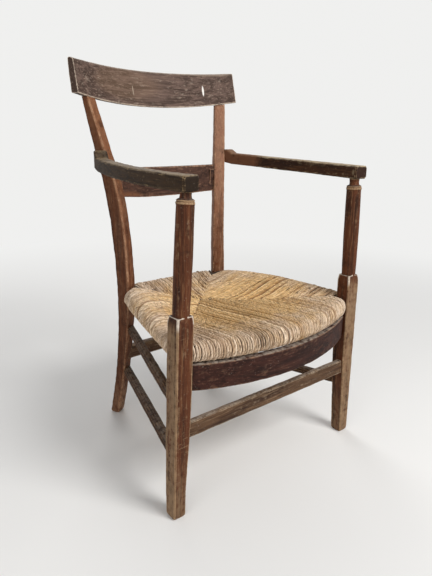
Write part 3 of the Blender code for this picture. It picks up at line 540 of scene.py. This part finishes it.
def dress_wood():
    """A worn copy in place of each visible wooden node, and bare wood on the hidden rails."""
    for seed, (name, slot) in enumerate(sorted(SLOTS.items())):
        source = frame["nodes"][name]
        if slot == "hidden_wood":
            source.data.materials.clear()
            source.data.materials.append(WOODS[slot])
        elif slot != "rush":
            piece = worn_copy("worn_" + name, source, 11 * seed)
            piece.data.materials.append(wood_of(name, slot))
            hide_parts(name)
            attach(piece, "root")


# Rush seat: the weave's plan, repeated from the part's source

FRONT_CORNER, REAR_CORNER = Vector((-0.2265, -0.1897)), Vector((-0.1223, 0.1521))
SEAT_MIDDLE = Vector((0.0, 0.0450))
STRANDS = {"front": 44, "rear": 24}
FRONT_BOW, FRONT_RAIL_Y = 0.5400, -0.2608
REAR_RAIL = (0.1303, 0.1672)
SIDE_REAR, SIDE_FRONT = Vector((-0.1399, 0.1436)), Vector((-0.2455, -0.1917))
RAIL_Z = 0.351
STILE_TURN = radians(28.0)
SIDES = {"front": (("front", -1), ("front", 1)), "right": (("front", 1), ("rear", 1)),
         "rear": (("rear", 1), ("rear", -1)), "left": (("rear", -1), ("front", -1))}

# Loosened spots of the weave: place, reach across and along the strands, and narrowing
LOOSE_SPOTS = ((-0.089, -0.262, 0.030, 0.060, 0.40), (-0.010, -0.112, 0.016, 0.085, 0.34),
               (-0.012, -0.165, 0.014, 0.060, 0.38), (-0.003, -0.015, 0.012, 0.070, 0.30),
               (0.045, -0.070, 0.012, 0.060, 0.32), (-0.083, -0.195, 0.012, 0.050, 0.36),
               (-0.132, -0.141, 0.014, 0.050, 0.30), (-0.075, 0.120, 0.010, 0.040, 0.45),
               (0.066, 0.112, 0.012, 0.030, 0.45), (0.143, 0.008, 0.008, 0.020, 0.55),
               (0.190, -0.090, 0.008, 0.018, 0.50))
CORNER_SINK = 0.0050
TUBE_SIDES = 8
TUBE_STEP = 0.0052
STRAND_WIDE = 0.445
STRAND_THICK = 0.0025
TWIST = 190.0
DARK_STRANDS = 0.09
STRAWS = 420
STRAW_THICK = 0.0007
STRAW_SIDES = ("front", "front", "rear", "left", "right")
CHAFF_INSET = 0.0032

seat_node = frame["nodes"]["rush_seat"]
seat_shape = BVHTree.FromPolygons([v.co for v in seat_node.data.vertices],
                                  [tuple(f.vertices) for f in seat_node.data.polygons])


def hit(start, ray, fallback):
    """Where a ray meets the CAD seat, or the fallback where it misses."""
    found = seat_shape.ray_cast(Vector(start), Vector(ray))[0]
    return found if found is not None else Vector(fallback)


def rail_spot(side, s):
    """Rail centre in plan and outward direction, at s along a side from its first corner."""
    if side == "front":
        x = FRONT_CORNER.x * (1 - 2 * s)
        return Vector((x, FRONT_RAIL_Y + FRONT_BOW - (FRONT_BOW ** 2 - x * x) ** 0.5)), Vector((0.0, -1.0))
    if side == "rear":
        lean = -(1 - 2 * s) * sin(STILE_TURN)
        return Vector((-REAR_RAIL[0] * (2 * s - 1), REAR_RAIL[1])), Vector((-lean, (1 - lean * lean) ** 0.5))
    t = s if side == "left" else 1 - s
    place = SIDE_REAR.lerp(SIDE_FRONT, t)
    tilt = -max(0.0, 1 - t * 2.2) ** 1.5 * STILE_TURN - 0.10 * max(0.0, t - 0.8) / 0.2
    out = Vector((-cos(tilt), sin(tilt)))
    if side == "right":
        place.x, out.x = -place.x, -out.x
    return place, out


def seam_spot(corner, k):
    """Place on the seam from a corner to the seat's middle, k strands in."""
    end, hand = corner
    start = FRONT_CORNER if end == "front" else REAR_CORNER
    place = start.lerp(SEAT_MIDDLE, min(1.0, k / STRANDS[end]))
    return Vector((-hand * place.x if hand > 0 else place.x, place.y))


def seam_of(side, i, total):
    """The spot on a diagonal seam where strand i of a side starts."""
    first, last = SIDES[side]
    return seam_spot(first, i) if i <= STRANDS[first[0]] else seam_spot(last, total - i)


def strand_path(side, i, total, past):
    """Points over the top, round the roll and back under the seat, on the solid's surface."""
    first, last = SIDES[side]
    seam = seam_of(side, i, total)
    rail, out = rail_spot(side, i / total)
    beyond = past / max(0.03, (rail - seam).length)
    path = []
    for u in (-beyond, 0.12, 0.25, 0.38, 0.5, 0.62, 0.74, 0.85, 0.94, 1.0):
        x, y = seam.lerp(rail, u)
        path.append(hit((x, y, 0.6), (0, 0, -1), (x, y, RAIL_Z + 0.02)))
    for degrees in (72, 55, 38, 20, 0, -20, -40, -60, -80):
        ray = Vector((out.x * cos(radians(degrees)), out.y * cos(radians(degrees)), sin(radians(degrees))))
        centre = Vector((rail.x, rail.y, RAIL_Z))
        path.append(hit(centre + ray * 0.12, -ray, centre + ray * 0.02))
    for u in (0.85, 0.6, 0.35, 0.15, -beyond):
        x, y = seam.lerp(rail, u)
        path.append(hit((x, y, 0.1), (0, 0, 1), (x, y, RAIL_Z - 0.02)))
    from_rear = min(i if first[0] == "rear" else 99, total - i if last[0] == "rear" else 99)
    sink = CORNER_SINK * exp(-(from_rear / 3.0) ** 2)
    return [p - Vector((0.0, 0.0, sink)) if p.z > RAIL_Z else p for p in path]


def smooth_curve(points, step):
    """Even points along a smooth curve through the given ones, and their distances along it."""
    points = np.array([tuple(p) for p in points])
    run = np.concatenate(([0.0], np.cumsum(np.linalg.norm(np.diff(points, axis=0), axis=1) + 1e-7)))
    at = np.linspace(0.0, run[-1], max(6, int(run[-1] / step) + 1))
    slopes = np.gradient(points, run, axis=0)
    k = np.clip(np.searchsorted(run, at) - 1, 0, len(run) - 2)
    width = (run[k + 1] - run[k])[:, None]
    t = (at - run[k])[:, None] / width
    curve = ((1 + 2 * t) * (1 - t) ** 2 * points[k] + t * (1 - t) ** 2 * width * slopes[k]
             + t * t * (3 - 2 * t) * points[k + 1] + t * t * (t - 1) * width * slopes[k + 1])
    return curve, at


def looseness(path, side):
    """How much narrower a strand is at each point of its path."""
    narrow = np.ones(len(path))
    for x, y, across, along, amount in LOOSE_SPOTS:
        dx, dy = path[:, 0] - x, path[:, 1] - y
        if side in ("left", "right"):
            dx, dy = dy, dx
        narrow -= amount * np.exp(-(dx / across) ** 2 - (dy / along) ** 2) * (path[:, 2] > 0.335)
    return np.clip(narrow, 0.40, 1.0)


def strand_frames(side, i, total, draw):
    """One matrix per ring of a strand: its flat width, its thickness and the way it runs."""
    path, at = smooth_curve(strand_path(side, i, total, draw["past"]), TUBE_STEP)
    ahead = np.gradient(path, axis=0)
    ahead /= np.linalg.norm(ahead, axis=1)[:, None]
    beside = np.array((1.0, 0.0, 0.0) if side in ("front", "rear") else (0.0, 1.0, 0.0))
    across = beside - ahead * (ahead @ beside)[:, None]
    across /= np.linalg.norm(across, axis=1)[:, None]
    out = np.cross(across, ahead)
    if ((path - np.array((0.0, -0.05, RAIL_Z))) * out).sum() < 0:
        out = -out
        across = -across
    end = np.minimum(at, at[-1] - at)
    wide = STRAND_WIDE * draw["pitch"] * draw["width"] * looseness(path, side)
    wide *= 1 + 0.08 * np.sin(at * 160.0 + draw["phase"])
    thick = STRAND_THICK * draw["thick"] * (1 + 0.14 * np.sin(at * 190.0 + draw["phase"] * 3))
    drift = 0.14 * draw["pitch"] * np.sin(at * draw["wave"] + draw["phase"])
    lift = draw["lift"] * np.sin(pi * np.clip(at / 0.16, 0, 1)) ** 2
    tuck = 0.0026 * np.clip(1 - end / 0.010, 0, 1) ** 1.5
    centre = path + across * drift[:, None] + out * (lift - thick * 0.85 - tuck)[:, None]
    frames = []
    for k in range(len(path)):
        turn = np.column_stack((across[k] * wide[k], out[k] * thick[k], ahead[k] * 0.001, centre[k]))
        frames.append(Matrix([*turn.tolist(), (0, 0, 0, 1)]))
    return frames, at


def lay_strand(side, i, total, draw):
    """One twisted strand: a circle that is extruded from ring to ring."""
    frames, at = strand_frames(side, i, total, draw)
    strand = bmesh.new()
    tone, fibre = strand.verts.layers.float.new("tone"), strand.verts.layers.float_vector.new("fibre")
    ring = bmesh.ops.create_circle(strand, cap_ends=True, segments=TUBE_SIDES, radius=1.0)["verts"]
    start = Matrix.Rotation(draw["phase"], 3, "Z")
    for vert in ring:
        vert[tone] = draw["tone"]
        vert[fibre] = start @ Vector((vert.co.x, vert.co.y, 0.0))
    bmesh.ops.transform(strand, matrix=frames[0], verts=ring)
    edges = list(strand.edges)
    for k in range(1, len(frames)):
        grown = bmesh.ops.extrude_edge_only(strand, edges=edges)["geom"]
        ring = [g for g in grown if isinstance(g, bmesh.types.BMVert)]
        edges = [g for g in grown if isinstance(g, bmesh.types.BMEdge)]
        bmesh.ops.transform(strand, matrix=frames[k] @ frames[k - 1].inverted(), verts=ring)
        twist = Matrix.Rotation((at[k] - at[k - 1]) * TWIST * draw["thick"], 3, "Z")
        for vert in ring:
            turned = twist @ vert[fibre]
            vert[fibre] = (turned.x, turned.y, at[k] + draw["phase"])
    bmesh.ops.contextual_create(strand, geom=edges)
    for face in strand.faces:
        face.smooth = True
    mesh = bpy.data.meshes.new("strand")
    strand.to_mesh(mesh)
    strand.free()
    return mesh


def weave_side(side, material):
    """One sector of the weave as one piece."""
    total = sum(STRANDS[end] for end, _ in SIDES[side])
    bm = bmesh.new()
    for i in range(total):
        place, next_place = rail_spot(side, i / total)[0], rail_spot(side, (i + 1) / total)[0]
        dark = rng.uniform() < DARK_STRANDS
        tone = rng.uniform(0.05, 0.18) if dark else np.clip(rng.normal(0.58, 0.22), 0.22, 1.0)
        draw = {"pitch": (next_place - place).length, "width": rng.uniform(0.86, 1.10), "wave": rng.uniform(20, 60),
                "phase": rng.uniform(0, 6.28), "tone": tone, "thick": rng.uniform(0.75, 1.3),
                "lift": max(0.0, rng.normal(-0.0006, 0.0010)), "past": rng.uniform(0.0005, 0.0040)}
        mesh = lay_strand(side, i + 0.5 + rng.uniform(-0.10, 0.10), total, draw)
        bm.from_mesh(mesh)
        bpy.data.meshes.remove(mesh)
    bmesh.ops.recalc_face_normals(bm, faces=bm.faces)
    return new_piece("woven_" + side, bm, material)


def frayed_straws(material):
    """Short broken straws that lie on the top of the seat, nearly along the strands."""
    bm = bmesh.new()
    tone, fibre = bm.verts.layers.float.new("tone"), bm.verts.layers.float_vector.new("fibre")
    for _ in range(STRAWS):
        side = STRAW_SIDES[rng.integers(len(STRAW_SIDES))]
        total = sum(STRANDS[end] for end, _ in SIDES[side])
        i = total * rng.uniform(0.12, 0.88)
        seam, rail = seam_of(side, i, total), rail_spot(side, i / total)[0]
        along = (rail - seam).normalized()
        along.rotate(Matrix.Rotation(rng.normal(0.0, 0.16), 2))
        middle, half = seam.lerp(rail, rng.uniform(0.15, 0.90)), rng.uniform(0.005, 0.015)
        lift, tint = rng.uniform(0.0002, 0.0016), rng.uniform(0.1, 1.0)
        aim = Vector((*along, 0.0)).to_track_quat("Z", "Y").to_matrix().to_4x4()
        before = Vector()
        for u in (-1.0, -0.5, 0.0, 0.5, 1.0):
            x, y = middle + along * (u * half)
            rise = Vector((0.0, 0.0, lift * (1 - u * u) - 0.0004))
            place = hit((x, y, 0.6), (0, 0, -1), (x, y, RAIL_Z + 0.02)) + rise
            if u == -1.0:
                ring = bmesh.ops.create_circle(bm, cap_ends=True, segments=3, radius=STRAW_THICK)["verts"]
                bmesh.ops.transform(bm, matrix=aim, verts=ring)
                edges = list(dict.fromkeys(edge for vert in ring for edge in vert.link_edges))
            else:
                grown = bmesh.ops.extrude_edge_only(bm, edges=edges)["geom"]
                ring = [g for g in grown if isinstance(g, bmesh.types.BMVert)]
                edges = [g for g in grown if isinstance(g, bmesh.types.BMEdge)]
            bmesh.ops.translate(bm, vec=place - before, verts=ring)
            before = place
            for vert in ring:
                vert[tone], vert[fibre] = tint, (0.0, 1.0, u * half + tint)
        bmesh.ops.contextual_create(bm, geom=edges)
    bmesh.ops.recalc_face_normals(bm, faces=bm.faces)
    return new_piece("rush_straws", bm, material)


def rush_material():
    """Twisted dry rush: golden in the middle, bleached grey at the rolls, with dark dirt patches and painted shade
    in the grooves between the plies.
    """
    mat, tree, shader = new_material("dry_rush")
    position = node(tree, "ShaderNodeTexCoord").outputs["Object"]
    tone = node(tree, "ShaderNodeAttribute", attribute_name="tone").outputs["Fac"]
    fibre = node(tree, "ShaderNodeAttribute", attribute_name="fibre").outputs["Vector"]
    fibres = noise(tree, mapped(tree, fibre, (2.4, 2.4, 60.0)), 1.0, 5.0, 0.65)
    apart = node(tree, "ShaderNodeSeparateXYZ")
    join(tree, fibre, apart.inputs[0])
    turn = maths(tree, "ARCTAN2", apart.outputs["Y"], apart.outputs["X"])
    plies = ramp(tree, maths(tree, "ABSOLUTE", maths(tree, "SINE", turn)), 0.02, 0.55)
    patch = noise(tree, position, 26.0, 4.0, 0.6)
    far = node(tree, "ShaderNodeVectorMath", operation="LENGTH")
    join(tree, mapped(tree, position, (3.5, 4.1, 4.0), shift=(-0.05, 0.27, -1.40)), far.inputs[0])
    bleach = ramp(tree, maths(tree, "ADD", far.outputs["Value"], product(tree, patch, 0.9)), 0.85, 1.50)
    gold = mix(tree, ramp(tree, tone, 0.15, 1.0), (0.62, 0.370, 0.140), (0.93, 0.66, 0.34))
    gold = mix(tree, ramp(tree, tone, 0.22, 0.05), gold, (0.38, 0.200, 0.075))
    grey = mix(tree, ramp(tree, tone, 0.15, 1.0), (0.56, 0.400, 0.270), (0.83, 0.67, 0.51))
    grey = mix(tree, ramp(tree, tone, 0.22, 0.05), grey, (0.38, 0.260, 0.170))
    colour = mix(tree, bleach, gold, grey)
    colour = mix(tree, product(tree, ramp(tree, fibres, 0.52, 0.38), 0.80), colour, (0.17, 0.090, 0.040))
    colour = mix(tree, product(tree, ramp(tree, fibres, 0.56, 0.72), 0.50), colour, (0.84, 0.71, 0.55))
    # Painted shade in the grooves between the plies of each strand.
    colour = mix(tree, product(tree, maths(tree, "SUBTRACT", 1.0, plies), 0.42), colour, (0.25, 0.140, 0.065))
    dirt = ramp(tree, noise(tree, position, 75.0, 5.0, 0.7), 0.57, 0.70)
    colour = mix(tree, product(tree, dirt, 0.80), colour, (0.11, 0.065, 0.038))
    join(tree, colour, shader.inputs["Base Color"])
    shader.inputs["Roughness"].default_value = 0.78
    shader.inputs["Specular IOR Level"].default_value = 0.22
    relief(tree, shader, maths(tree, "ADD", product(tree, fibres, 0.5), plies), 0.7, 0.0012)
    return mat


def chaff_material():
    """Dusty straw between the strands, painted nearly black as the shade in the gaps."""
    mat, tree, shader = new_material("chaff_in_painted_shade")
    position = node(tree, "ShaderNodeTexCoord").outputs["Object"]
    straw = noise(tree, mapped(tree, position, (1.0, 0.15, 1.0)), 420.0, 4.0, 0.6)
    # Nearly black: painted shade in the gaps between the strands.
    colour = mix(tree, ramp(tree, straw, 0.4, 0.7), (0.020, 0.012, 0.007), (0.085, 0.050, 0.026))
    join(tree, colour, shader.inputs["Base Color"])
    shader.inputs["Roughness"].default_value = 0.95
    relief(tree, shader, straw, 1.0, 0.0015)
    return mat


def stuffing(material):
    """Chaff that fills the seat under the strands, in the nearly black material that paints the shade in the gaps.
    """
    bm = bmesh.new()
    bm.from_mesh(seat_node.data)
    bmesh.ops.remove_doubles(bm, verts=bm.verts, dist=1e-6)
    bmesh.ops.smooth_vert(bm, verts=bm.verts, factor=0.3, use_axis_x=True, use_axis_y=True, use_axis_z=True)
    bm.normal_update()
    for vert in bm.verts:
        vert.co -= vert.normal * CHAFF_INSET
    return new_piece("rush_stuffing", bm, material)


def dress_seat():
    rush = rush_material()
    pieces = [weave_side(side, rush) for side in SIDES] + [stuffing(chaff_material()), frayed_straws(rush)]
    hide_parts("rush_seat")
    for piece in pieces:
        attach(piece, "root")


make_camera()
make_floor()
make_light()
dress_wood()
dress_seat()
